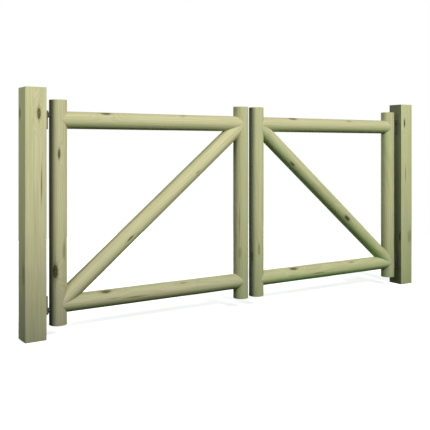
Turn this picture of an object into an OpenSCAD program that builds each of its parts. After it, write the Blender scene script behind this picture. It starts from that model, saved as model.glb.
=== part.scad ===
// Double field gate of round poles, hung on two square posts with pin and eye hinges.
// The origin is the centre of the left post's foot, +X runs along the gate and +Z is up.
// Each leaf is described once, on the left post, and mirrored for the right one.

/* [Posts] */
// Width of each square post
post_w = 120; // [90:1:160]
// Length of the posts above the top of the leaves
post_above = 63; // [10:1:400]
// Eased edge down the four corners of a post
post_arris = 2; // [1:0.5:6]
// Clear width between the two posts
opening_w = 2820; // [2000:1:4200]

/* [Leaves] */
// Diameter of the round poles
pole_d = 100; // [80:1:120]
// Length of the upright poles, which is the height of a leaf
leaf_h = 1265; // [900:1:1800]
// Space between the ground and a leaf
ground_gap = 64; // [40:1:160]
// Distance from the end of an upright to the middle of the rail
rail_inset = 113; // [90:1:200]
// Space between the two leaves where they meet
meeting_gap = 28; // [15:1:60]
// Eased edge round the cut end of an upright
pole_arris = 2; // [1:0.5:5]

/* [Hinges] */
// Distance from the post's face to the axis of the hinge pin
pin_offset = 20.5; // [20:0.5:40]
// Distance from the hinge pin's axis to the hanging upright
hang_gap = 16; // [16:0.5:30]
// Diameter of the hinge pin
pin_d = 13; // [10:0.5:16]
// Length of pin that stands out of the knuckle
pin_length = 93; // [50:1:140]
// Distance from the end of an upright to the middle of the eye
eye_inset = 87; // [60:1:200]
// Height of the eye
eye_h = 27; // [20:1:40]
// Wall thickness of the eye
eye_wall = 6.2; // [4:0.1:7]
// Diameter of the eye's shank
shank_d = 16; // [12:0.5:20]
// Depth of the shank inside the upright
shank_depth = 85; // [50:1:95]
// Height of the knuckle that carries the pin
knuckle_h = 18; // [14:0.5:30]
// Wall of the knuckle round the pin
knuckle_wall = 4.5; // [3.5:0.5:5]
// Width of the hinge plate
plate_w = 30; // [28:1:50]
// Thickness of the hinge plate
plate_t = 4; // [3:0.5:5]
// Radius of the hinge plate's corners
plate_corner = 3; // [1:0.5:3.5]
// Diameter of the screw holes in the plate
screw_d = 5; // [4:0.5:6]
// Diameter of the countersinks
screw_head_d = 8.6; // [7:0.1:9]
// Distance of the screw holes from the plate's middle line
screw_side = 10; // [9:0.5:10.5]
// Distance along the plate between one screw hole and the next
screw_step = 17; // [12:1:18]
// Number of screw holes in a plate
screw_count = 4; // [2:1:4]

/* [Fits] */
// Clearance all round the pin in its eye
pin_clear = 0.3; // [0.1:0.05:0.6]
// Clearance between the eye and the knuckle that it turns on
eye_clear = 0.3; // [0.1:0.05:1]
// Clearance in joints between pieces that don't move on each other
seat_clear = 0.1; // [0.05:0.05:0.3]
// Clearance between a pole and the hollow end that is cut to fit it
cope_clear = 0.2; // [0.1:0.05:0.5]

/* [Hidden] */

wood_colour = [0.66, 0.65, 0.46];
post_colour = [0.70, 0.69, 0.50];
zinc_colour = [0.55, 0.56, 0.55];

pole_r = pole_d / 2;
post_h = ground_gap + leaf_h + post_above;
post_pitch = opening_w + post_w;
axis_x = post_w / 2 + pin_offset;
hinge_stile_x = axis_x + hang_gap + pole_r;
meeting_stile_x = post_pitch / 2 - meeting_gap / 2 - pole_r;
stile_bottom = ground_gap;
stile_top = ground_gap + leaf_h;
bottom_rail_z = stile_bottom + rail_inset;
top_rail_z = stile_top - rail_inset;
lower_eye_z = stile_bottom + eye_inset;
upper_eye_z = stile_top - eye_inset;

// The feather edges of a hollow cut end are sawn off this far from the crossing of the axes.
rail_trim = 0.16 * pole_r;
brace_trim = 0.24 * pole_r;
brace_run = meeting_stile_x - hinge_stile_x;
brace_rise = top_rail_z - bottom_rail_z;
brace_axis_length = norm([brace_run, brace_rise]);
brace_angle = atan2(brace_rise, brace_run);

// Along the pin, hinge pieces are measured from the middle of the eye to the near end of the leaf.
eye_r = pin_d / 2 + pin_clear + eye_wall;
knuckle_r = pin_d / 2 + knuckle_wall;
knuckle_start = eye_h / 2 + eye_clear;
knuckle_end = knuckle_start + knuckle_h;
pin_end = knuckle_start - pin_length;
pin_seat = 12;
pin_chamfer = 2;
shank_chamfer = 3;
knuckle_nose = 5;
first_screw = pin_end + 10;
sink_depth = (screw_head_d - screw_d) / 2;
cut_margin = 1;

module on_right_post() {
  translate([post_pitch, 0, 0]) mirror([1, 0, 0]) children();
}

module at_upper_hinge() {
  translate([axis_x, 0, upper_eye_z]) children();
}

module at_lower_hinge() {
  translate([axis_x, 0, lower_eye_z]) mirror([0, 0, 1]) children();
}

module along_x(x, z, length) {
  translate([x, 0, z]) rotate([0, 90, 0]) cylinder(d = pole_d, h = length, $fn = 96);
}

// The hollow that lets a pole lie against an upright at x
module upright_cope(x) {
  translate([x, 0, 0]) cylinder(r = pole_r + cope_clear, h = post_h, $fn = 96);
}

// The hollow that lets the brace lie against a rail at z
module rail_cope(z) {
  translate([0, 0, z]) rotate([0, 90, 0]) cylinder(r = pole_r + cope_clear, h = post_pitch, $fn = 96);
}

// Sawn square post with four eased edges
module post() {
  color(post_colour) linear_extrude(post_h) intersection() {
    square(post_w, center = true);
    rotate(45) square((post_w - post_arris) * sqrt(2), center = true);
  }
}

// Upright pole with its two sawn ends eased
module upright(x) {
  translate([x, 0, stile_bottom]) rotate_extrude($fn = 96) polygon([
    [0, 0],
    [pole_r - pole_arris, 0],
    [pole_r, pole_arris],
    [pole_r, leaf_h - pole_arris],
    [pole_r - pole_arris, leaf_h],
    [0, leaf_h]
  ]);
}

// Hole for the shank of an eye, from the face of the upright inwards
module shank_bore() {
  translate([hang_gap - pole_r, 0, 0]) rotate([0, 90, 0])
    cylinder(d = shank_d + 2 * seat_clear, h = pole_r + shank_depth + seat_clear, $fn = 48);
}

module hinge_stile() {
  color(wood_colour) difference() {
    upright(hinge_stile_x);
    at_upper_hinge() shank_bore();
    at_lower_hinge() shank_bore();
  }
}

module meeting_stile() {
  color(wood_colour) upright(meeting_stile_x);
}

// Rail with both ends hollowed to fit round the uprights
module rail(z) {
  color(wood_colour) difference() {
    along_x(hinge_stile_x + rail_trim, z, brace_run - 2 * rail_trim);
    upright_cope(hinge_stile_x);
    upright_cope(meeting_stile_x);
  }
}

// Diagonal pole from the foot of the hanging side to the top of the meeting side,
// with each end hollowed twice, once for the upright and once for the rail
module brace() {
  color(wood_colour) difference() {
    translate([hinge_stile_x, 0, bottom_rail_z]) rotate([0, 90 - brace_angle, 0])
      translate([0, 0, brace_trim])
        cylinder(d = pole_d, h = brace_axis_length - 2 * brace_trim, $fn = 96);
    upright_cope(hinge_stile_x);
    upright_cope(meeting_stile_x);
    rail_cope(bottom_rail_z);
    rail_cope(top_rail_z);
  }
}

// Knuckle: a nose round the pin that slopes back to the plate
module knuckle() {
  intersection() {
    translate([0, 0, knuckle_start]) linear_extrude(knuckle_h) union() {
      circle(r = knuckle_r, $fn = 48);
      translate([-pin_offset, -knuckle_r]) square([pin_offset, 2 * knuckle_r]);
    }
    translate([0, knuckle_r, 0]) rotate([90, 0, 0]) linear_extrude(2 * knuckle_r) polygon([
      [-pin_offset, knuckle_start],
      [knuckle_r, knuckle_start],
      [knuckle_r, knuckle_start + knuckle_nose],
      [plate_t - pin_offset, knuckle_end],
      [-pin_offset, knuckle_end]
    ]);
  }
}

// The plate seen from the post, with four rounded corners
module plate_outline() {
  plate_length = knuckle_end - pin_end;
  translate([-plate_w / 2, pin_end]) union() {
    translate([plate_corner, 0]) square([plate_w - 2 * plate_corner, plate_length]);
    translate([0, plate_corner]) square([plate_w, plate_length - 2 * plate_corner]);
    for (x = [plate_corner, plate_w - plate_corner], y = [plate_corner, plate_length - plate_corner])
      translate([x, y]) circle(r = plate_corner, $fn = 32);
  }
}

module screw_hole() {
  rotate([0, 90, 0]) union() {
    translate([0, 0, -cut_margin]) cylinder(d = screw_d, h = plate_t + 2 * cut_margin, $fn = 32);
    translate([0, 0, plate_t - sink_depth])
      cylinder(d1 = screw_d, d2 = screw_head_d + 2 * cut_margin, h = sink_depth + cut_margin, $fn = 32);
  }
}

// Plate on the post's face, with the knuckle that holds the pin and staggered screw holes
module hinge_plate() {
  color(zinc_colour) difference() {
    union() {
      translate([-pin_offset, 0, 0]) rotate([90, 0, 90]) linear_extrude(plate_t) plate_outline();
      knuckle();
    }
    translate([0, 0, knuckle_start - cut_margin])
      cylinder(d = pin_d + 2 * seat_clear, h = pin_seat + cut_margin + seat_clear, $fn = 48);
    for (i = [0:screw_count - 1]) {
      side = i % 2 == 0 ? screw_side : -screw_side;
      translate([-pin_offset, side, first_screw + i * screw_step]) screw_hole();
    }
  }
}

// Pin: held in the knuckle, through the eye, with a chamfered free end
module hinge_pin() {
  color(zinc_colour) translate([0, 0, pin_end]) rotate_extrude($fn = 48) polygon([
    [0, 0],
    [pin_d / 2 - pin_chamfer, 0],
    [pin_d / 2, pin_chamfer],
    [pin_d / 2, pin_length + pin_seat],
    [0, pin_length + pin_seat]
  ]);
}

// Round shank of the eye, with a chamfered tip
module shank() {
  rotate([0, 90, 0]) rotate_extrude($fn = 48) polygon([
    [0, 0],
    [shank_d / 2, 0],
    [shank_d / 2, hang_gap + shank_depth - shank_chamfer],
    [shank_d / 2 - shank_chamfer, hang_gap + shank_depth],
    [0, hang_gap + shank_depth]
  ]);
}

// Eye that turns on the pin, with its shank driven into the upright
module hinge_eye() {
  color(zinc_colour) difference() {
    union() {
      cylinder(r = eye_r, h = eye_h, center = true, $fn = 64);
      shank();
    }
    cylinder(r = pin_d / 2 + pin_clear, h = eye_h + 2 * cut_margin, center = true, $fn = 48);
  }
}

module left_post() post();
module right_post() on_right_post() post();

module left_hinge_stile() hinge_stile();
module left_meeting_stile() meeting_stile();
module left_top_rail() rail(top_rail_z);
module left_bottom_rail() rail(bottom_rail_z);
module left_brace() brace();

module right_hinge_stile() on_right_post() hinge_stile();
module right_meeting_stile() on_right_post() meeting_stile();
module right_top_rail() on_right_post() rail(top_rail_z);
module right_bottom_rail() on_right_post() rail(bottom_rail_z);
module right_brace() on_right_post() brace();

module left_upper_hinge_plate() at_upper_hinge() hinge_plate();
module left_upper_hinge_pin() at_upper_hinge() hinge_pin();
module left_upper_hinge_eye() at_upper_hinge() hinge_eye();
module left_lower_hinge_plate() at_lower_hinge() hinge_plate();
module left_lower_hinge_pin() at_lower_hinge() hinge_pin();
module left_lower_hinge_eye() at_lower_hinge() hinge_eye();

module right_upper_hinge_plate() on_right_post() at_upper_hinge() hinge_plate();
module right_upper_hinge_pin() on_right_post() at_upper_hinge() hinge_pin();
module right_upper_hinge_eye() on_right_post() at_upper_hinge() hinge_eye();
module right_lower_hinge_plate() on_right_post() at_lower_hinge() hinge_plate();
module right_lower_hinge_pin() on_right_post() at_lower_hinge() hinge_pin();
module right_lower_hinge_eye() on_right_post() at_lower_hinge() hinge_eye();

left_post();
right_post();
left_hinge_stile();
left_meeting_stile();
left_top_rail();
left_bottom_rail();
left_brace();
right_hinge_stile();
right_meeting_stile();
right_top_rail();
right_bottom_rail();
right_brace();
left_upper_hinge_plate();
left_upper_hinge_pin();
left_upper_hinge_eye();
left_lower_hinge_plate();
left_lower_hinge_pin();
left_lower_hinge_eye();
right_upper_hinge_plate();
right_upper_hinge_pin();
right_upper_hinge_eye();
right_lower_hinge_plate();
right_lower_hinge_pin();
right_lower_hinge_eye();
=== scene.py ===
"""Looks of a double field gate: round poles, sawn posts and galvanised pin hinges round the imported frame."""
import math
import random

import bmesh
import bpy
from mathutils import Matrix, Vector, noise


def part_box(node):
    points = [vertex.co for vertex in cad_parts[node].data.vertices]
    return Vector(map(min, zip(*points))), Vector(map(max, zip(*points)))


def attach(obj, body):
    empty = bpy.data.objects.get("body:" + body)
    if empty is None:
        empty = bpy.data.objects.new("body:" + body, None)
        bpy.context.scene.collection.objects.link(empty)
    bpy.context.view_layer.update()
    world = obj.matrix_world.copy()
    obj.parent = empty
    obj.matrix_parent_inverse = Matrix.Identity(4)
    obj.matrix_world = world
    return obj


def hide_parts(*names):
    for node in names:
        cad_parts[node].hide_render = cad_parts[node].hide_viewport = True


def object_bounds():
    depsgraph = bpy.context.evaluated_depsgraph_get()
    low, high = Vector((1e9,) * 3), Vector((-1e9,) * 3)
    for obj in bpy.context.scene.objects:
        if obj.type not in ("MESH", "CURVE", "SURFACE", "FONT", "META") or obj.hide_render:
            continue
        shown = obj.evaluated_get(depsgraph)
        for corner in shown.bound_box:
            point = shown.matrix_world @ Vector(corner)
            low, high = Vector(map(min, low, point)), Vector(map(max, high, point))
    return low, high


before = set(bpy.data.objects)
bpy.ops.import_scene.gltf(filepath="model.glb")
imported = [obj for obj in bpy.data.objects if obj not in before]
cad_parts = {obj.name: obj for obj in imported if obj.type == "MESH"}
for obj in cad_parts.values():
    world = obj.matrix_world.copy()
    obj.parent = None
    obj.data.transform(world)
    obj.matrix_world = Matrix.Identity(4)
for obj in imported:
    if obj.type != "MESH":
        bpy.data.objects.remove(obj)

cad_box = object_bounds()

UP = Vector((0, 0, 1))
ALONG = Vector((1, 0, 0))
BACK = Vector((0, 1, 0))
TINY = 1e-6


# ---------------------------------------------------------------- places, from the frame

def middle(node):
    low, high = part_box(node)
    return (low + high) / 2


def span(node):
    low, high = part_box(node)
    return high - low


def share_across(x):
    """0 in the middle of the left post and 1 in the middle of the right one."""
    return x / middle("right_post").x


POLE_RADIUS = span("left_meeting_stile").x / 2
BOTTOM_RAIL_Z = middle("left_bottom_rail").z
TOP_RAIL_Z = middle("left_top_rail").z
LEAVES = {
    "left": (middle("left_hinge_stile").x, middle("left_meeting_stile").x),
    "right": (middle("right_hinge_stile").x, middle("right_meeting_stile").x),
}


# ---------------------------------------------------------------- meshes

def finish_mesh(bm, name, body, material, node=None, sharp_degrees=35):
    """Turns a bmesh into a piece that rides on a body and may stand for a CAD node."""
    mesh = bpy.data.meshes.new(name)
    bm.to_mesh(mesh)
    bm.free()
    mesh.polygons.foreach_set("use_smooth", [True] * len(mesh.polygons))
    mesh.set_sharp_from_angle(angle=math.radians(sharp_degrees))
    mesh.materials.append(material)
    piece = bpy.data.objects.new(name, mesh)
    bpy.context.scene.collection.objects.link(piece)
    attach(piece, body)
    if node:
        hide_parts(node)
    return piece


def bevel(bm, geom, offset, segments):
    return bmesh.ops.bevel(bm, geom=geom, offset=offset, offset_type="OFFSET", segments=segments, profile=0.5,
                           affect="EDGES", material=-1)


def check_depth(depth, share):
    """How deep a drying check is at a share of its length. It runs out to nothing at both ends."""
    taper = 0.6
    return depth * math.sin(math.pi * share) ** taper


def exit_distance(offset, direction, axis, radius):
    """How far a line from offset along direction runs before it leaves a cylinder round axis through the origin."""
    flat_offset = offset - axis * offset.dot(axis)
    flat_direction = direction - axis * direction.dot(axis)
    a = flat_direction.length_squared
    b = flat_offset.dot(flat_direction)
    c = flat_offset.length_squared - radius * radius
    inside = b * b - a * c
    return (math.sqrt(inside) - b) / a if inside > 0 else 0.0


class Pole:
    """A round pole between two points of its axis. Its own frame has z along the pole and y to the back."""

    SEGMENTS = 96
    ROW = 0.009               # length of one row of faces
    RINGS = 11                # rings in an end that is hollowed
    ARRIS = 0.002             # eased edge of an end that is sawn square
    COPE_CLEARANCE = 0.0002   # between a hollowed end and the pole that it sits on
    DEEPEST = 0.0006          # what the rounding machine takes off at most
    ON_SIDE = 0.999           # share of the radius past which a point lies on the side

    def __init__(self, name, body, foot, head, foot_cuts=(), head_cuts=(), trim=0.0):
        self.name, self.body = name, body
        self.foot, self.head = Vector(foot), Vector(head)
        self.foot_cuts, self.head_cuts, self.trim = foot_cuts, head_cuts, trim
        self.direction = (self.head - self.foot).normalized()
        self.length = (self.head - self.foot).length
        across = BACK.cross(self.direction)
        self.frame = Matrix((across, BACK, self.direction)).transposed().to_4x4()
        self.frame.translation = self.foot

    def reach(self, offset, direction, cuts):
        """Where the wood starts on the line through offset: flush, or hollowed round the poles that it meets."""
        radius = POLE_RADIUS + self.COPE_CLEARANCE
        return max([self.trim] + [exit_distance(offset, direction, axis, radius) for axis in cuts])

    def build(self, material, slot, checks):
        bm = bmesh.new()
        bmesh.ops.create_cone(bm, cap_ends=True, cap_tris=False, segments=self.SEGMENTS,
                              radius1=POLE_RADIUS, radius2=POLE_RADIUS, depth=self.length)
        bmesh.ops.translate(bm, verts=bm.verts, vec=UP * self.length / 2)
        if self.foot_cuts:
            self.ring_ends(bm)
        sides = [e for e in bm.edges if abs((e.verts[0].co - e.verts[1].co).z) > self.length / 2]
        bmesh.ops.subdivide_edges(bm, edges=sides, cuts=int(self.length / self.ROW), use_grid_fill=True)
        if not self.foot_cuts:
            self.ease_ends(bm)
        self.roughen(bm)
        if self.foot_cuts:
            self.hollow_ends(bm)
        for check in checks:
            split(bm, self, *check)
        bmesh.ops.transform(bm, matrix=self.frame, verts=bm.verts)
        bmesh.ops.recalc_face_normals(bm, faces=bm.faces)
        return finish_mesh(bm, self.name + "_wood", self.body, material, self.name)

    def ring_ends(self, bm):
        """Divides both ends into rings, so that they can be hollowed."""
        for end in [f for f in bm.faces if len(f.verts) > 4]:
            for _ in range(self.RINGS):
                bmesh.ops.inset_individual(bm, faces=[end], thickness=POLE_RADIUS / (self.RINGS + 1),
                                           use_even_offset=True)
            bmesh.ops.poke(bm, faces=[end])

    def ease_ends(self, bm):
        rims = [e for e in bm.edges if len(e.link_faces) == 2
                and any(len(f.verts) > 4 for f in e.link_faces)]
        bevel(bm, rims, self.ARRIS, 2)

    def roughen(self, bm):
        """Takes a little off the side here and there, as a rounding machine does."""
        waves_across, waves_along = 18, 2.2
        seed = Vector((self.foot.x * 7, self.foot.z * 5, self.length * 3))
        for v in bm.verts:
            radius = v.co.xy.length
            if radius > POLE_RADIUS * self.ON_SIDE:
                place = Vector((v.co.x * waves_across, v.co.y * waves_across, v.co.z * waves_along))
                cut = self.DEEPEST * (0.5 + 0.5 * noise.noise(place + seed))
                v.co.x *= 1 - cut / radius
                v.co.y *= 1 - cut / radius

    def hollow_ends(self, bm):
        """Shifts the rows so that each end follows the poles that it meets."""
        back_turn = self.frame.to_3x3().inverted()
        foot_axes, head_axes = ([back_turn @ axis for axis in cuts] for cuts in (self.foot_cuts, self.head_cuts))
        for v in bm.verts:
            offset = Vector((v.co.x, v.co.y, 0))
            low = self.reach(offset, UP, foot_axes)
            high = self.length - self.reach(offset, -UP, head_axes)
            v.co.z = low + (high - low) * v.co.z / self.length


def split(bm, pole, start, length, around, width=0.0012, depth=0.009):
    """Opens a drying check: a narrow tapering groove along the grain, round the pole at an angle from the front."""
    nearly, near_side, fewest_rows = 0.2, 0.97, 4
    step = 2 * math.pi / pole.SEGMENTS
    angle = round(math.radians(around) / step) * step
    out = Vector((math.sin(angle), -math.cos(angle)))
    chain = []
    for e in bm.edges:
        ends = [v.co for v in e.verts]
        low, high = sorted(p.z for p in ends)
        if low < start or high > start + length or high - low < TINY:
            continue
        if all(p.xy.length > POLE_RADIUS * near_side and (p.xy.normalized() - out).length < step * nearly
               for p in ends):
            chain.append(e)
    heights = {round(v.co.z, 5) for e in chain for v in e.verts}
    if len(heights) < fewest_rows:
        return
    low, high = min(heights), max(heights)
    made = bevel(bm, chain, width / 2, 2)
    for v in made["verts"]:
        share = (v.co.z - low) / (high - low)
        if (v.co.xy.normalized() - out).length * POLE_RADIUS < width * nearly and 0 < share < 1:
            sink = check_depth(depth, share)
            v.co.x -= out.x * sink
            v.co.y -= out.y * sink


# ---------------------------------------------------------------- shader tools

class Shader:
    """Adds nodes to a tree. Each input is a number, a colour, a vector or another node's output."""

    # Sockets of a Mix node that mixes colours
    FACTOR, FIRST, SECOND, MIXED = 0, 6, 7, 2

    def __init__(self, tree):
        self.tree = tree

    def node(self, kind, inputs=(), **settings):
        made = self.tree.nodes.new(kind)
        for key, value in settings.items():
            setattr(made, key, value)
        pairs = inputs.items() if isinstance(inputs, dict) else enumerate(inputs)
        for key, value in pairs:
            if isinstance(value, bpy.types.NodeSocket):
                self.tree.links.new(value, made.inputs[key])
            else:
                made.inputs[key].default_value = value
        return made

    def math(self, operation, *values, clamp=False):
        return self.node("ShaderNodeMath", values, operation=operation, use_clamp=clamp).outputs[0]

    def plus(self, *values, clamp=False):
        return self.math("ADD", *values, clamp=clamp)

    def minus(self, *values, clamp=False):
        return self.math("SUBTRACT", *values, clamp=clamp)

    def times(self, *values):
        return self.math("MULTIPLY", *values)

    def over(self, *values):
        return self.math("DIVIDE", *values)

    def larger(self, *values):
        return self.math("MAXIMUM", *values)

    def vector(self, operation, *values, out=0):
        return self.node("ShaderNodeVectorMath", values, operation=operation).outputs[out]

    def scaled(self, vector, factors):
        return self.vector("MULTIPLY", vector, factors)

    def dot(self, *vectors):
        return self.vector("DOT_PRODUCT", *vectors, out=1)

    def length(self, vector):
        return self.vector("LENGTH", vector, out=1)

    def parts(self, vector):
        return self.node("ShaderNodeSeparateXYZ", (vector,)).outputs

    def joined(self, *numbers):
        return self.node("ShaderNodeCombineXYZ", numbers).outputs[0]

    def noise(self, vector, scale=1.0, detail=2.0, roughness=0.5):
        inputs = {"Vector": vector, "Scale": scale, "Detail": detail, "Roughness": roughness}
        return self.node("ShaderNodeTexNoise", inputs)

    def clouds(self, *inputs):
        return self.noise(*inputs).outputs[0]

    def remap(self, value, low, high, to_low=0.0, to_high=1.0):
        return self.node("ShaderNodeMapRange", (value, low, high, to_low, to_high),
                         interpolation_type="SMOOTHSTEP").outputs[0]

    def mix(self, factor, a, b, blend="MIX"):
        inputs = {self.FACTOR: factor, self.FIRST: a, self.SECOND: b}
        return self.node("ShaderNodeMix", inputs, data_type="RGBA", blend_type=blend).outputs[self.MIXED]

    def tinted(self, color, tint):
        return self.mix(1.0, color, tint, "MULTIPLY")

    def group(self, name, inputs):
        return self.node("ShaderNodeGroup", inputs, node_tree=GROUPS[name]).outputs


def new_group(name, inputs, outputs):
    """A shader node group, its tools, its inputs by name and a function that sets an output."""
    tree = bpy.data.node_groups.new(name, "ShaderNodeTree")
    for title, kind, default in inputs:
        socket = tree.interface.new_socket(title, in_out="INPUT", socket_type="NodeSocket" + kind)
        socket.default_value = default
    for title, kind in outputs:
        tree.interface.new_socket(title, in_out="OUTPUT", socket_type="NodeSocket" + kind)
    shader = Shader(tree)
    given = shader.node("NodeGroupInput").outputs
    result = shader.node("NodeGroupOutput").inputs
    return tree, shader, given, lambda title, value: tree.links.new(value, result[title])


# ---------------------------------------------------------------- shader groups

TREATED_GREEN = (0.54, 0.565, 0.295, 1)
TREATED_BEIGE = (0.6, 0.57, 0.335, 1)
LATE_WOOD = (0.44, 0.41, 0.215, 1)
RESIN = (0.22, 0.145, 0.055, 1)
KNOT_DARK = (0.035, 0.034, 0.012, 1)
KNOT_LIGHT = (0.18, 0.19, 0.08, 1)
KNOT_RIM = (0.02, 0.016, 0.005, 1)
KNOT_HALO = (0.21, 0.18, 0.07, 1)
SAWN_EARLY = (0.36, 0.37, 0.17, 1)
SAWN_LATE = (0.2, 0.2, 0.085, 1)
CRACK = (0.03, 0.026, 0.014, 1)
# Painted shade, greener, under round poles
PAINTED_UNDER_SHADE = (0.45, 0.78, 0.42, 1)
# Painted shade on sides that face a narrow gap
GAP_SHADE_TINT = (0.68, 0.73, 0.9, 1)
# Dull grey zinc, made darker as painted shade for hinges that sit in shade beside the posts
ZINC_BRIGHT = (0.11, 0.108, 0.085, 1)
ZINC_DULL = (0.05, 0.05, 0.038, 1)

# Noise in the wood, in waves per metre: twice across the grain, then along it
DRIFT_WAVES = (0.4, 0.4, 1.1)
RIPPLE_WAVES = (30, 30, 4)
ZONE_WAVES = (22, 22, 0.8)
STREAK_WAVES = (95, 95, 1.6)
FIBRE_WAVES = (520, 520, 9)
RESIN_WAVES = (600, 600, 12)
PATCH_WAVES = (14, 14, 5)

MARK_DEPTH = 0.045    # how far into the wood a knot or a streak reaches
KNOT_EDGE = 1.15      # where a knot's heart ends, as a share of its size

MARK_INPUTS = [
    ("Vector", "Vector", (0, 0, 0)), ("Centre", "Vector", (0, 0, 0)), ("Outward", "Vector", (0, -1, 0)),
    ("Size", "Float", 0.008), ("Stretch", "Float", 2.5), ("Strength", "Float", 1.0),
]
# What each knot adds: how much of its heart shows, how far in from its edge that is, the browner wood round it and
# the bend of the grain
KNOT_PARTS = ("Core", "Depth", "Halo", "Swirl")


def oval(s, given, stretch, width=1.0):
    """How far a place is from a mark, as a share of the mark's size, and the mark's strength on its own side."""
    away = s.vector("SUBTRACT", given["Vector"], given["Centre"])
    outward = s.dot(away, given["Outward"])
    lift = s.node("ShaderNodeVectorMath", {0: given["Outward"], "Scale": outward}, operation="SCALE").outputs[0]
    flat = s.vector("SUBTRACT", away, lift)
    squeeze = s.joined(1 / width, 1 / width, s.over(1.0, stretch))
    far = s.length(s.scaled(flat, squeeze))
    strength = s.times(s.math("GREATER_THAN", outward, -MARK_DEPTH), given["Strength"])
    return s.over(far, given["Size"]), strength


def knot_group():
    """One knot: the stub of a branch that comes out of the wood at Centre, with the grain bent round it."""
    tree, s, given, give = new_group(
        "knot", MARK_INPUTS + [(title, "Float", 0.0) for title in KNOT_PARTS],
        [(title, "Float") for title in KNOT_PARTS])
    ratio, strength = oval(s, given, given["Stretch"])
    wobble = s.minus(s.clouds(given["Vector"], 90.0, 3.0), 0.5)
    ratio = s.plus(ratio, s.times(wobble, 0.9))
    tail, _ = oval(s, given, s.times(given["Stretch"], 3.6), 0.4)
    core = s.times(s.remap(ratio, KNOT_EDGE, 0.8), strength)
    depth = s.times(s.minus(KNOT_EDGE, ratio, clamp=True), s.math("GREATER_THAN", strength, 0.0))
    halo = s.larger(s.remap(ratio, 2.0, 0.8), s.remap(tail, 1.0, 0.2, 0.0, 0.9))
    halo = s.times(halo, strength)
    bend = s.times(s.remap(ratio, 5.0, 0.4), s.times(strength, given["Size"]))
    give("Core", s.larger(core, given["Core"]))
    give("Depth", s.larger(depth, given["Depth"]))
    give("Halo", s.larger(halo, given["Halo"]))
    give("Swirl", s.plus(bend, given["Swirl"]))
    return tree


def resin_group():
    """A thin reddish streak of resin along the grain."""
    tree, s, given, give = new_group("resin streak", MARK_INPUTS + [("Resin", "Float", 0.0)], [("Resin", "Float")])
    ratio, strength = oval(s, given, given["Stretch"])
    grain = s.clouds(s.scaled(given["Vector"], RESIN_WAVES), 1.0, 2.0)
    mask = s.times(s.remap(ratio, 1.1, 0.1), s.plus(grain, 0.55))
    give("Resin", s.larger(s.times(mask, strength), given["Resin"]))
    return tree


def growth_rings(s, given, place, seeded):
    """How much of the darker late wood shows, and the place and the distance from the wandering pith."""
    wander, swirl, ripple_height = (0.03, 0.03, 0), 1.3, 0.0035
    drift = s.noise(s.scaled(seeded, DRIFT_WAVES), 1.0, 1.0).outputs[1]
    drift = s.scaled(s.vector("SUBTRACT", drift, (0.5, 0.5, 0.5)), wander)
    off_pith = s.vector("ADD", s.vector("SUBTRACT", s.scaled(place, (1, 1, 0)), given["Pith"]), drift)
    radius = s.length(off_pith)
    ripple = s.minus(s.clouds(s.scaled(seeded, RIPPLE_WAVES), 1.0, 2.0), 0.5)
    ring_radius = s.plus(radius, s.times(ripple, ripple_height))
    ring_radius = s.plus(ring_radius, s.times(given["Swirl"], swirl))
    phase = s.math("FRACT", s.over(ring_radius, given["Ring Width"]))
    late = s.times(s.remap(phase, 0.15, 0.86), s.remap(phase, 1.0, 0.93))
    return late, off_pith, radius


def sawn_end(s, given, place, off_pith, radius):
    """1 on a sawn end, and the small cracks out of the pith that show there."""
    end_depth = 0.0009
    end = s.math("GREATER_THAN", s.math("ABSOLUTE", s.parts(place)[2]), s.minus(given["Half Length"], end_depth))
    across = s.parts(off_pith)
    angle = s.math("ARCTAN2", across[1], across[0])
    spread = s.clouds(s.joined(angle, 0.0, 0.0), 3.2, 2.0)
    star = s.math("ABSOLUTE", s.math("SINE", s.times(s.plus(angle, spread), 2.5)))
    crack = s.times(s.remap(s.times(star, radius), 0.0011, 0.0003), s.remap(radius, 0.045, 0.03))
    return end, s.times(crack, end)


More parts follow.
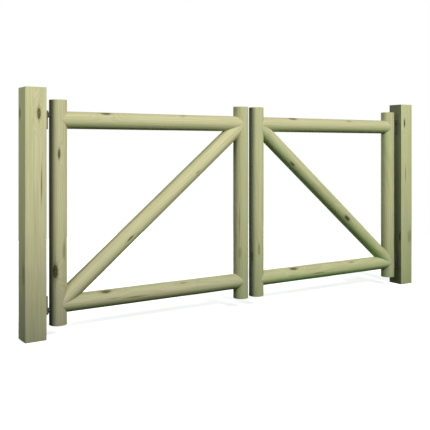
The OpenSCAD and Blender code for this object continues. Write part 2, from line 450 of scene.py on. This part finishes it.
def timber_group():
    """Pressure-treated softwood: growth rings round a wandering pith, fibres, streaks, knots and sawn ends."""
    tree, s, given, give = new_group(
        "timber",
        [("Vector", "Vector", (0, 0, 0)), ("Seed", "Vector", (0, 0, 0)), ("Pith", "Vector", (0, 0, 0)),
         ("Ring Width", "Float", 0.0035), ("Half Length", "Float", 0.6),
         ("Lean", "Vector", (0, 0, 0)), ("Green", "Float", 0.0), ("Lightness", "Float", 1.0),
         *[(title, "Float", 0.0) for title in KNOT_PARTS], ("Resin", "Float", 0.0)],
        [("Color", "Color"), ("Roughness", "Float"), ("Height", "Float")])
    place = given["Vector"]
    seeded = s.vector("ADD", place, given["Seed"])
    late, off_pith, radius = growth_rings(s, given, place, seeded)

    # zones of colour, streaks and fibres
    zone = s.clouds(s.scaled(seeded, ZONE_WAVES), 1.0, 2.0)
    zone = s.plus(zone, s.dot(place, given["Lean"]))
    zone = s.minus(zone, given["Green"])
    streak = s.clouds(s.scaled(seeded, STREAK_WAVES), 1.0, 3.0, 0.6)
    fibre = s.clouds(s.scaled(seeded, FIBRE_WAVES), 1.0, 3.0, 0.6)
    color = s.mix(s.remap(zone, 0.35, 0.65), TREATED_GREEN, TREATED_BEIGE)
    color = s.mix(s.times(late, 0.4), color, LATE_WOOD)
    color = s.mix(s.remap(streak, 0.42, 0.75, 0.0, 0.5), color, LATE_WOOD)
    bright = s.times(s.remap(fibre, 0.25, 0.75, 0.9, 1.06), given["Lightness"])
    color = s.tinted(color, s.node("ShaderNodeCombineColor", (bright, bright, bright)).outputs[0])
    color = s.mix(s.times(given["Resin"], 0.9), color, RESIN)

    # knots: a mottled heart of fine rings with a dark rim, in wood that is browner than elsewhere
    mottle = s.clouds(seeded, 240.0, 2.0)
    turns = s.math("SINE", s.times(s.plus(given["Depth"], s.times(mottle, 0.12)), 38.0))
    shade = s.plus(s.remap(mottle, 0.35, 0.7), s.times(turns, 0.22), clamp=True)
    heart = s.mix(shade, KNOT_DARK, KNOT_LIGHT)
    heart = s.mix(s.remap(given["Depth"], 0.42, 0.18), heart, KNOT_RIM)
    color = s.mix(s.times(given["Halo"], 0.7), color, KNOT_HALO)
    color = s.mix(given["Core"], color, heart)

    # sawn ends: their rings show more
    end, crack = sawn_end(s, given, place, off_pith, radius)
    color = s.mix(s.times(end, 0.85), color, s.mix(late, SAWN_EARLY, SAWN_LATE))
    give("Color", s.mix(crack, color, CRACK))

    rough = s.minus(0.8, s.times(late, 0.12))
    give("Roughness", s.minus(rough, s.times(given["Core"], 0.2)))
    relief = s.plus(s.times(late, 0.35), s.times(fibre, 0.5))
    relief = s.plus(relief, s.times(given["Core"], 1.2))
    give("Height", s.minus(relief, s.times(crack, 4.0)))
    return tree


def painted_shade_group():
    """Painted shade on timber: green and grey towards the ground, on its undersides and where it faces a narrow gap.
    """
    tree, s, given, give = new_group(
        "painted foot and side shade",
        [("Vector", "Vector", (0, 0, 0)), ("Facing", "Vector", (0, 0, 0)), ("Color", "Color", (0.5, 0.5, 0.3, 1)),
         ("Foot Shade", "Color", (0.5, 0.5, 0.5, 1)), ("Reach", "Float", 0.7),
         ("Under Shade Strength", "Float", 0.25), ("Under Shade Tint", "Color", PAINTED_UNDER_SHADE),
         ("Shaded Side", "Vector", (0, 0, 0)), ("Gap Shade Tint", "Color", GAP_SHADE_TINT)],
        [("Color", "Color")])
    patch = s.clouds(s.scaled(given["Vector"], PATCH_WAVES), 1.0, 3.0)
    unevenness = s.times(s.minus(patch, 0.5), 0.15)
    level = s.plus(s.parts(given["Vector"])[2], unevenness)
    # Painted shade, darker towards the ground
    foot = s.math("POWER", s.minus(1.0, s.over(level, given["Reach"]), clamp=True), 1.5)
    color = s.mix(foot, given["Color"], s.tinted(given["Color"], given["Foot Shade"]))
    # Painted shade, greener, on faces turned down, stronger near the ground
    downward = s.remap(s.parts(given["Facing"])[2], 0.0, -0.7)
    under = s.times(downward, s.plus(given["Under Shade Strength"], s.times(foot, 0.85)))
    color = s.mix(under, color, s.tinted(color, given["Under Shade Tint"]))
    # Painted shade on the side that faces a narrow gap
    turned = s.plus(s.dot(given["Facing"], given["Shaded Side"]), unevenness)
    give("Color", s.mix(s.remap(turned, 0.65, 0.95), color, s.tinted(color, given["Gap Shade Tint"])))
    return tree


def zinc_group():
    """Hot-dip zinc: dull grey crystals, paler and smoother where they are thick."""
    tree, s, given, give = new_group(
        "zinc coat",
        [("Vector", "Vector", (0, 0, 0)), ("Bright", "Color", ZINC_BRIGHT), ("Dull", "Color", ZINC_DULL)],
        [("Color", "Color"), ("Roughness", "Float"), ("Height", "Float")])
    crystals = s.node("ShaderNodeTexVoronoi", {"Vector": given["Vector"], "Scale": 260.0})
    shade = s.node("ShaderNodeSeparateColor", (crystals.outputs["Color"],)).outputs[0]
    cloud = s.clouds(given["Vector"], 70.0, 3.0)
    level = s.plus(s.times(shade, 0.45), s.times(cloud, 0.6))
    give("Color", s.mix(level, given["Dull"], given["Bright"]))
    give("Roughness", s.remap(level, 0.2, 0.9, 0.62, 0.42))
    give("Height", s.plus(s.times(cloud, 0.8), s.times(shade, 0.15)))
    return tree


GROUPS = {"knot": knot_group(), "resin": resin_group(), "timber": timber_group(), "painted_shade": painted_shade_group(),
          "zinc": zinc_group()}


# ---------------------------------------------------------------- materials

def new_tree(owner):
    """The empty node tree of a material or the world, with its tools."""
    owner.use_nodes = True
    owner.node_tree.nodes.clear()
    return Shader(owner.node_tree)


def new_material(name):
    """A material, its tools and its Principled shader."""
    material = bpy.data.materials.new(name)
    s = new_tree(material)
    surface = s.node("ShaderNodeBsdfPrincipled")
    s.node("ShaderNodeOutputMaterial", {"Surface": surface.outputs[0]})
    return material, s, surface


def set_surface(s, surface, made, color, bump_distance, bump_strength):
    """Feeds the shader from a group's outputs and a colour."""
    s.tree.links.new(color, surface.inputs["Base Color"])
    s.tree.links.new(made["Roughness"], surface.inputs["Roughness"])
    bump = s.node("ShaderNodeBump", {"Strength": bump_strength, "Distance": bump_distance, "Height": made["Height"]})
    s.tree.links.new(bump.outputs[0], surface.inputs["Normal"])


def timber_material(name, own_frame, half_length, marks, grain, shades):
    """Wood for one piece. own_frame carries the piece's own frame, z along the grain, into the row frame."""
    material, s, surface = new_material(name)
    coordinates = s.node("ShaderNodeTexCoord").outputs
    place = coordinates["Object"]
    own = s.node("ShaderNodeMapping", {"Vector": place, "Location": own_frame.translation,
                                       "Rotation": own_frame.to_euler("XYZ")}, vector_type="TEXTURE").outputs[0]
    state = {}
    for kind, centre, outward, size, stretch, strength in marks:
        outputs = KNOT_PARTS if kind == "knot" else ("Resin",)
        before = {key: state[key] for key in outputs if key in state}
        made = s.group(kind, {"Vector": own, "Centre": centre, "Outward": outward, "Size": size,
                              "Stretch": stretch, "Strength": strength, **before})
        state.update({key: made[key] for key in outputs})
    made = s.group("timber", {"Vector": own, "Half Length": half_length, **grain, **state})
    color = s.group("painted_shade", {"Vector": place, "Facing": coordinates["Normal"], "Color": made["Color"],
                             **shades})["Color"]
    surface.inputs["Specular IOR Level"].default_value = 0.05
    set_surface(s, surface, made, color, bump_distance=0.0006, bump_strength=0.6)
    return material


def zinc_material():
    material, s, surface = new_material("zinc")
    made = s.group("zinc", {"Vector": s.node("ShaderNodeTexCoord").outputs["Object"]})
    surface.inputs["Metallic"].default_value = 0.75
    set_surface(s, surface, made, made["Color"], bump_distance=0.0003, bump_strength=0.4)
    return material


# ---------------------------------------------------------------- timber

# Picks the grain and the further knots of each piece
WOOD = {
    "left_post": 11, "right_post": 4,
    "left_hinge_stile": 6, "left_meeting_stile": 12, "left_top_rail": 8, "left_bottom_rail": 2, "left_brace": 9,
    "right_hinge_stile": 7, "right_meeting_stile": 3, "right_top_rail": 15, "right_bottom_rail": 14,
    "right_brace": 16,
}
# How light each piece is beside the others; the left bottom rail's low value is painted shade
LIGHTNESS = {
    "left_post": 1.02, "right_post": 0.96,
    "left_hinge_stile": 0.99, "left_meeting_stile": 0.93, "left_top_rail": 0.98, "left_bottom_rail": 0.92,
    "left_brace": 1.07,
    "right_hinge_stile": 0.95, "right_meeting_stile": 0.95, "right_top_rail": 0.93, "right_bottom_rail": 1.0,
    "right_brace": 0.96,
}
# Pieces with a tint of their own: Green is in place of the usual one, and Lean is how fast that goes over to beige
# along the axes of the piece
TINTS = {
    "left_post": {"Lean": (3, 0, 0)},
    "right_post": {"Lean": (-2, 0, 0), "Green": 0.15},
    "left_bottom_rail": {"Lean": (0, 0, -0.2)},
    "right_meeting_stile": {"Green": 0.05},
    "right_top_rail": {"Green": -0.1},
    "right_bottom_rail": {"Green": 0.09},
    "right_brace": {"Lean": (0, 0, 0.06), "Green": 0.13},
}
# How green wood is at the left post, and what it gains towards the right one
GREEN_LEFT, GREEN_GAIN = -0.15, 0.24
SEEDS = 20                       # the noise of each piece starts at a place between 0 and this
RING_WIDTHS = (0.003, 0.0045)
# The side of each upright that faces the next one, which gets painted shade
SHADED_GAP_SIDES = {
    "left_post": ALONG, "left_hinge_stile": -ALONG, "left_meeting_stile": ALONG,
    "right_meeting_stile": -ALONG, "right_hinge_stile": ALONG, "right_post": -ALONG,
}
# Painted shade on the posts' sides that face the leaves
POST_GAP_SHADE_TINT = (0.38, 0.41, 0.43, 1)
# Painted shade near the ground: what the foot of an upright is multiplied by at the left post and at the right one,
# and how much of that rails, braces and posts take
FOOT_SHADE_LEFT = (0.64, 0.65, 0.72)
FOOT_SHADE_RIGHT = (0.68, 0.77, 0.7)
RAIL_FOOT_SHADE = 0.3
POST_FOOT_SHADE = {"left_post": 0.95, "right_post": 0.4}
# Painted shade, greener, under a round pole: how strong it is at the left post and what it gains towards the right
# one
UNDER_SHADE_LEFT, UNDER_SHADE_GAIN = 0.12, 0.33
# Painted shade on the left leaf: its hanging end and its bottom rail are greyer at the foot, and its brace also
# along the underside and the upper back
OWN_SHADES = {
    "left_hinge_stile": {"Foot Shade": (0.57, 0.57, 0.67, 1)},
    "left_bottom_rail": {"Foot Shade": (0.86, 0.86, 0.92, 1), "Under Shade Tint": (0.45, 0.58, 0.4, 1)},
    "left_brace": {"Foot Shade": (0.7, 0.71, 0.77, 1), "Under Shade Strength": 0.4, "Under Shade Tint": (0.5, 0.49, 0.42, 1),
                   "Shaded Side": (-0.59, 0.38, 0.71), "Gap Shade Tint": (0.55, 0.55, 0.5, 1)},
}


def random_grain(rng, pith_wander, x):
    """Grain of one piece. Wood is greener towards the right post."""
    return {"Seed": [rng.uniform(0, SEEDS) for _ in range(3)], "Ring Width": rng.uniform(*RING_WIDTHS),
            "Pith": (rng.uniform(-pith_wander, pith_wander), rng.uniform(-pith_wander, pith_wander), 0),
            "Green": GREEN_LEFT + GREEN_GAIN * share_across(x)}


def foot_shade(x, strength):
    """Painted shade near the ground, brown at the left post and greener at the right one."""
    share = share_across(x)
    return [1 - (1 - a - (b - a) * share) * strength for a, b in zip(FOOT_SHADE_LEFT, FOOT_SHADE_RIGHT)] + [1]


def facing(degrees):
    """The direction out of a piece at an angle round it from the front."""
    angle = math.radians(degrees)
    return Vector((math.sin(angle), -math.cos(angle), 0))


# ---------------------------------------------------------------- poles

# Marks on poles: kind, distance along the pole from its foot, angle round it from the front, half width,
# length to width, strength.
POLE_MARKS = {
    "left_hinge_stile": [("knot", 0.961, -13, 0.006, 4.4, 0.9), ("knot", 0.306, -37, 0.013, 2.9, 1.0),
                         ("knot", 0.42, 23, 0.009, 5, 0.3)],
    "left_meeting_stile": [("knot", 0.3, -40, 0.008, 4, 0.25), ("resin", 0.51, -43, 0.004, 28, 0.8)],
    "right_meeting_stile": [("knot", 0.27, -70, 0.009, 4, 0.4), ("knot", 0.317, -14, 0.007, 5, 0.35)],
    "right_hinge_stile": [("knot", 0.9, 160, 0.008, 3, 1.0)],
    "left_top_rail": [("knot", 0.28, -58, 0.011, 2.6, 0.85), ("knot", 0.8, -56, 0.006, 4, 0.35)],
    "right_top_rail": [("knot", 0.295, -61, 0.011, 2.6, 0.85), ("knot", 0.82, -48, 0.006, 4, 0.3)],
    "left_bottom_rail": [("knot", 0.28, -60, 0.011, 2.6, 0.85), ("resin", 0.46, 4, 0.006, 18, 0.9),
                         ("resin", 0.32, -4, 0.004, 14, 0.6), ("knot", 0.8, -52, 0.006, 4, 0.3)],
    "right_bottom_rail": [("knot", 0.303, -58, 0.011, 2.6, 0.85), ("resin", 0.51, 7, 0.006, 16, 0.9),
                          ("resin", 0.27, 2, 0.004, 14, 0.6), ("knot", 0.843, -50, 0.006, 4, 0.35)],
    "left_brace": [("knot", 0.551, 6, 0.0045, 5.4, 0.9), ("knot", 1.156, 10, 0.004, 4, 0.45)],
    "right_brace": [("knot", 1.245, -36, 0.006, 3.4, 0.9), ("knot", 0.595, -18, 0.011, 2.5, 1.0)],
}
# Drying checks on poles: start along the pole, length, angle round it from the front.
POLE_CHECKS = {
    "left_hinge_stile": [(0.12, 0.5, 150)],
    "left_meeting_stile": [(0.38, 0.26, -43), (0.7, 0.45, 120)],
    "right_meeting_stile": [(0.2, 0.5, 165)],
    "right_hinge_stile": [(0.5, 0.55, 140)],
    "left_top_rail": [(0.35, 0.5, -120)],
    "right_top_rail": [(0.5, 0.45, -150)],
    "left_bottom_rail": [(0.5, 0.45, -125)],
    "right_bottom_rail": [(0.2, 0.5, -140)],
    "left_brace": [(0.5, 0.6, -130)],
    "right_brace": [(0.7, 0.5, -135)],
}
RAIL_TRIM = 0.008      # the least that a rail stops short of the upright's axis
BRACE_TRIM = 0.012
POLE_PITH = 0.012      # how far the pith may be from the middle
BACK_KNOT = 0.9        # strength of the further knots


def round_marks(pole, rng):
    """The pole's own marks, in its frame, and a few more knots on its back."""
    first, step, back, end_clear = (0.2, 0.35), (0.4, 0.75), (100, 260), 0.15
    half_widths, stretches = (0.005, 0.009), (2, 3)
    listed = list(POLE_MARKS[pole.name])
    start = rng.uniform(*first)
    while start < pole.length - end_clear:
        listed.append(("knot", start, rng.uniform(*back), rng.uniform(*half_widths), rng.uniform(*stretches),
                       BACK_KNOT))
        start += rng.uniform(*step)
    made = []
    for kind, along, around, *looks in listed:
        outward = facing(around)
        centre = outward * POLE_RADIUS + UP * (along - pole.length / 2)
        made.append((kind, centre, outward, *looks))
    return made


def leaf_poles(side):
    """The five poles of one leaf. A rail's and a brace's axes run from crossing to crossing."""
    hang_x, meet_x = LEAVES[side]
    body = side + "_leaf"
    near, far = sorted((hang_x, meet_x))
    low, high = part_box(side + "_hinge_stile")
    for name, x in (("hinge_stile", hang_x), ("meeting_stile", meet_x)):
        yield Pole(f"{side}_{name}", body, (x, 0, low.z), (x, 0, high.z))
    for name, z in (("top_rail", TOP_RAIL_Z), ("bottom_rail", BOTTOM_RAIL_Z)):
        yield Pole(f"{side}_{name}", body, (near, 0, z), (far, 0, z), (UP,), (UP,), RAIL_TRIM)
    yield Pole(f"{side}_brace", body, (hang_x, 0, BOTTOM_RAIL_Z), (meet_x, 0, TOP_RAIL_Z),
               (UP, ALONG), (UP, ALONG), BRACE_TRIM)


def make_poles():
    for side in LEAVES:
        for pole in leaf_poles(side):
            rng = random.Random(WOOD[pole.name])
            centred = pole.frame @ Matrix.Translation(UP * pole.length / 2)
            x = centred.translation.x
            upright = pole.direction.z > 0.9
            # Painted shade near the ground, under the pole and on its side that faces a gap
            shades = {"Foot Shade": foot_shade(x, 1.0 if upright else RAIL_FOOT_SHADE),
                      "Under Shade Strength": UNDER_SHADE_LEFT + UNDER_SHADE_GAIN * share_across(x),
                      "Shaded Side": SHADED_GAP_SIDES.get(pole.name, (0, 0, 0)),
                      **OWN_SHADES.get(pole.name, {})}
            grain = {**random_grain(rng, POLE_PITH, x), "Lightness": LIGHTNESS[pole.name],
                     **TINTS.get(pole.name, {})}
            material = timber_material("wood_" + pole.name, centred, pole.length / 2, round_marks(pole, rng),
                                       grain, shades)
            pole.build(material, "round_poles", POLE_CHECKS[pole.name])


make_poles()


# ---------------------------------------------------------------- posts

# Marks on posts: kind, distance across the face, height, face turned from the front, half width,
# length to width, strength.
POST_MARKS = {
    "left_post": [("knot", 0.016, 1.249, 0, 0.0095, 3.2, 0.9), ("resin", 0.031, 0.86, 0, 0.006, 24, 1.0),
                  ("knot", -0.031, 1.249, 270, 0.01, 2.6, 0.9), ("knot", 0.029, 0.366, 270, 0.02, 2.6, 0.3)],
    "right_post": [("knot", -0.023, 1.249, 0, 0.007, 4.0, 0.95), ("resin", -0.01, 0.86, 0, 0.006, 16, 1.0),
                   ("knot", 0.034, 0.366, 0, 0.018, 2.6, 0.3), ("knot", 0.047, 0.368, 270, 0.006, 4.5, 0.9)],
}
# Drying checks in the backs of the posts: height of the lower end, distance across the face, length
POST_CHECKS = {"left_post": [(0.55, -0.006, 0.6)], "right_post": [(0.3, 0.009, 0.7)]}
POST_ARRIS = 0.0018
POST_PITH = 0.03       # how far the pith may be from the middle


def flat_marks(post, half_length, rng):
    """The post's own marks, in its frame, and a few more knots on the right face and the back."""
    first, step, aside, end_clear, apart = (0.15, 0.4), (0.45, 0.8), (-0.04, 0.04), 0.1, 0.15
    half_widths, stretches = (0.006, 0.012), (1.4, 2.4)
    half = span(post).x / 2
    listed = list(POST_MARKS[post])
    for face in (90, 180):
        height = rng.uniform(*first)
        while height < 2 * half_length - end_clear:
            taken = any(abs(height - mark[2]) < apart and face == mark[3] for mark in listed)
            if not taken:
                listed.append(("knot", rng.uniform(*aside), height, face, rng.uniform(*half_widths),
                               rng.uniform(*stretches), BACK_KNOT))
            height += rng.uniform(*step)
    made = []
    for kind, across, height, face, *looks in listed:
        outward = facing(face)
        sideways = facing(face + 90)
        centre = outward * half + sideways * across + UP * (height - half_length)
        made.append((kind, centre, outward, *looks))
    return made


def open_check(bm, centre, height, across, length, width=0.0016, depth=0.012):
    """Opens a drying check in the post's back: a narrow tapering groove along the grain."""
    x = centre.x + across
    top = height + length
    back = max(v.co.y for v in bm.verts)
    steps, least_area, nearly, run_out = 24, 1e-4, 0.2, 0.001

    def on_line(edge):
        return all(abs(v.co.x - x) < TINY and abs(v.co.y - back) < TINY for v in edge.verts)

    for place, normal in (((x, 0, 0), ALONG), ((0, 0, height), UP), ((0, 0, top), UP)):
        flat = [f for f in bm.faces if f.normal.y > 0.99 and f.calc_area() > least_area]
        edges = {e for f in flat for e in f.edges}
        bmesh.ops.bisect_plane(bm, geom=flat + list(edges), plane_co=place, plane_no=normal, dist=TINY)
    chain = [e for e in bm.edges if on_line(e)
             and height - TINY < min(v.co.z for v in e.verts) and max(v.co.z for v in e.verts) < top + TINY]
    cut = bmesh.ops.subdivide_edges(bm, edges=chain, cuts=steps)
    chain = [g for g in cut["geom"] if isinstance(g, bmesh.types.BMEdge) and on_line(g)]
    made = bevel(bm, chain, width / 2, 2)
    for v in made["verts"]:
        share = (v.co.z - height) / length
        if abs(v.co.x - x) < width * nearly and run_out < share < 1 - run_out:
            v.co.y -= check_depth(depth, share)


def make_posts():
    for name in ("left_post", "right_post"):
        rng = random.Random(WOOD[name])
        centre = middle(name)
        half_length = span(name).z / 2
        grain = {**random_grain(rng, POST_PITH, centre.x), "Lightness": LIGHTNESS[name], **TINTS[name]}
        # Painted shade near the ground and on the side that faces a gap
        shades = {"Foot Shade": foot_shade(centre.x, POST_FOOT_SHADE[name]), "Shaded Side": SHADED_GAP_SIDES[name],
                  "Gap Shade Tint": POST_GAP_SHADE_TINT}
        material = timber_material("wood_" + name, Matrix.Translation(centre), half_length,
                                   flat_marks(name, half_length, rng), grain, shades)
        bm = bmesh.new()
        bmesh.ops.create_cube(bm, size=1.0)
        bmesh.ops.scale(bm, verts=bm.verts, vec=span(name))
        bmesh.ops.translate(bm, verts=bm.verts, vec=centre)
        bevel(bm, bm.edges, POST_ARRIS, 3)
        for height, across, length in POST_CHECKS[name]:
            open_check(bm, centre, height, across, length)
        finish_mesh(bm, name + "_wood", "posts", material, name, sharp_degrees=50)


make_posts()


# ---------------------------------------------------------------- hinges

SCREW_HEAD_RADIUS = 0.0041
SCREW_RADIUS = 0.0023
SCREW_SHAFT = 0.0018         # length of the shaft that is modelled
SCREW_SINK = 0.0001          # how far the head lies below the face of the plate
SCREW_SEGMENTS = 24
RECESS_RADIUS = 0.0009       # of the cross's middle
RECESS_ARM = 2.7             # how much further the arms reach
RECESS_DEPTH = 0.0015
RECESS_TAPER = 0.55          # size of the recess's floor beside its mouth
PLATE_THICKNESS = 0.004
# Distance from the middle of the eye along the plate, and across it
SCREW_PLACES = [(-0.0692, 0.01), (-0.0522, -0.01), (-0.0352, 0.01), (-0.0182, -0.01)]
ZINC = zinc_material()


def lowered_ring(bm, ring, share, drop):
    """Extrudes a ring of edges down by drop, scales the new ring across by share and returns it."""
    made = bmesh.ops.extrude_edge_only(bm, edges=list(ring))["geom"]
    verts = [g for g in made if isinstance(g, bmesh.types.BMVert)]
    bmesh.ops.scale(bm, verts=verts, vec=(share, share, 1))
    bmesh.ops.translate(bm, verts=verts, vec=(0, 0, -drop))
    return [g for g in made if isinstance(g, bmesh.types.BMEdge)]


def screw_circle(bm, radius):
    """A circle round the origin, just below the face of the plate."""
    verts = bmesh.ops.create_circle(bm, segments=SCREW_SEGMENTS, radius=radius)["verts"]
    bmesh.ops.translate(bm, verts=verts, vec=(0, 0, -SCREW_SINK))
    return verts


def wood_screw(bm, place, outward, turn):
    """A countersunk screw with a cross recess. Its head lies just below place and faces outward."""
    older = set(bm.verts)
    rim = screw_circle(bm, SCREW_HEAD_RADIUS)
    rim_edges = {e for v in rim for e in v.link_edges}
    neck = lowered_ring(bm, rim_edges, SCREW_RADIUS / SCREW_HEAD_RADIUS, SCREW_HEAD_RADIUS - SCREW_RADIUS)
    bmesh.ops.contextual_create(bm, geom=lowered_ring(bm, neck, 1.0, SCREW_SHAFT))

    cross = screw_circle(bm, RECESS_RADIUS)
    half_step = math.pi / SCREW_SEGMENTS
    half_arm = RECESS_RADIUS * math.sin(2 * half_step)
    bmesh.ops.rotate(bm, verts=cross, matrix=Matrix.Rotation(half_step, 3, "Z"))
    arms = [v for v in cross if min(abs(v.co.x), abs(v.co.y)) < half_arm]
    bmesh.ops.scale(bm, verts=arms, vec=(RECESS_ARM, RECESS_ARM, 1))
    recess = list({e for v in cross for e in v.link_edges})
    bmesh.ops.bridge_loops(bm, edges=list(rim_edges) + recess)
    bmesh.ops.contextual_create(bm, geom=lowered_ring(bm, recess, RECESS_TAPER, RECESS_DEPTH))

    own = outward.to_track_quat("Z", "Y").to_matrix().to_4x4()
    own.translation = place
    fresh = [v for v in bm.verts if v not in older]
    bmesh.ops.transform(bm, matrix=own @ Matrix.Rotation(turn, 4, "Z"), verts=fresh)


def make_screws():
    """Four screws in each hinge plate, in the plate's countersunk holes."""
    rng = random.Random(3)
    for side, outward in (("left", ALONG), ("right", -ALONG)):
        low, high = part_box(side + "_post")
        face = high.x if side == "left" else low.x
        for level, away in (("upper", 1), ("lower", -1)):
            eye_z = middle(f"{side}_{level}_hinge_eye").z
            bm = bmesh.new()
            for along, across in SCREW_PLACES:
                place = Vector((face, across, eye_z + away * along)) + outward * PLATE_THICKNESS
                wood_screw(bm, place, outward, rng.uniform(0, math.pi))
            bmesh.ops.recalc_face_normals(bm, faces=bm.faces)
            finish_mesh(bm, f"{side}_{level}_screws", "posts", ZINC, sharp_degrees=30)


make_screws()
for node_name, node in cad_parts.items():
    if "hinge_plate" in node_name or "hinge_pin" in node_name or "hinge_eye" in node_name:
        node.data.materials[0] = ZINC


# ---------------------------------------------------------------- stage, light and camera

WHITE = (1, 1, 1, 1)
FLOOR_HALF = 4.0                          # half the floor's side
FLOOR_BOUNCE = (0.02, 0.05, 0.012, 1)     # its colour for the light that it throws back
FLOOR_SEEN = (0.9, 0.9, 0.9, 1)           # its colour for the camera
FLOOR_GLOW = 0.65                         # how much it glows for the camera
WORLD_LIGHT = (0.04, 0.06, 0.055, 1)


def seen_rays(s):
    """1 for what the camera sees, directly, through something or in a mirror-like surface."""
    rays = s.node("ShaderNodeLightPath").outputs
    direct = s.larger(rays["Is Camera Ray"], rays["Is Glossy Ray"])
    return s.larger(direct, rays["Is Transmission Ray"])


def make_floor():
    bm = bmesh.new()
    bmesh.ops.create_grid(bm, x_segments=1, y_segments=1, size=FLOOR_HALF)
    mesh = bpy.data.meshes.new("floor")
    bm.to_mesh(mesh)
    bm.free()
    floor = bpy.data.objects.new("floor", mesh)
    floor.location = (middle("left_post").x + (cad_box[1].x + cad_box[0].x) / 2, 0, 0)
    bpy.context.scene.collection.objects.link(floor)
    material, s, surface = new_material("pale_floor")
    seen = seen_rays(s)
    surface.inputs["Roughness"].default_value = 1.0
    surface.inputs["Specular IOR Level"].default_value = 0.0
    surface.inputs["Emission Color"].default_value = WHITE
    s.tree.links.new(s.mix(seen, FLOOR_BOUNCE, FLOOR_SEEN), surface.inputs["Base Color"])
    s.tree.links.new(s.times(seen, FLOOR_GLOW), surface.inputs["Emission Strength"])
    mesh.materials.append(material)


def make_world():
    """White for the camera and a weak light for the gate."""
    world = bpy.data.worlds.new("studio")
    bpy.context.scene.world = world
    s = new_tree(world)
    color = s.mix(seen_rays(s), WORLD_LIGHT, WHITE)
    background = s.node("ShaderNodeBackground", {"Color": color, "Strength": 1.0})
    s.node("ShaderNodeOutputWorld", {"Surface": background.outputs[0]})


def soft_box(name, place, size, level):
    """A square soft lamp aimed at the middle of the gate, where level 1 shows a colour as written."""
    aim = (cad_box[0] + cad_box[1]) / 2
    away = Vector(place) - aim
    data = bpy.data.lights.new(name, "AREA")
    data.shape = "SQUARE"
    data.size = size
    data.energy = level * (math.pi * away.length) ** 2
    lamp = bpy.data.objects.new(name, data)
    lamp.location = place
    lamp.rotation_mode = "QUATERNION"
    lamp.rotation_quaternion = away.to_track_quat("Z", "Y")
    lamp.visible_camera = False
    bpy.context.scene.collection.objects.link(lamp)


def aim_camera(place, turn_degrees, sensor_width, lens, shift_y):
    """A level camera. turn_degrees is how far it is turned from looking straight at the front."""
    camera = bpy.data.objects.new("camera", bpy.data.cameras.new("camera"))
    camera.location = place
    camera.rotation_euler = (math.radians(90), 0, math.radians(turn_degrees))
    camera.data.sensor_width = sensor_width
    camera.data.lens = lens
    camera.data.shift_y = shift_y
    camera.data.clip_end = 100
    bpy.context.scene.collection.objects.link(camera)
    bpy.context.scene.camera = camera


make_floor()
make_world()
soft_box("key", (2.2, -5.7, 4.8), size=1.8, level=1.04)
soft_box("side_fill", (-2.6, -1.0, 2.0), size=1.2, level=0.2)
soft_box("back_fill", (1.2, 6.0, 3.8), size=3.0, level=0.44)
# In front of the gate to its left, level, and turned to the right along it
aim_camera((-1.2328, -3.7464, 1.0649), turn_degrees=-33.03, sensor_width=36, lens=57.77, shift_y=-0.1587)
bpy.context.scene.view_settings.view_transform = "Standard"
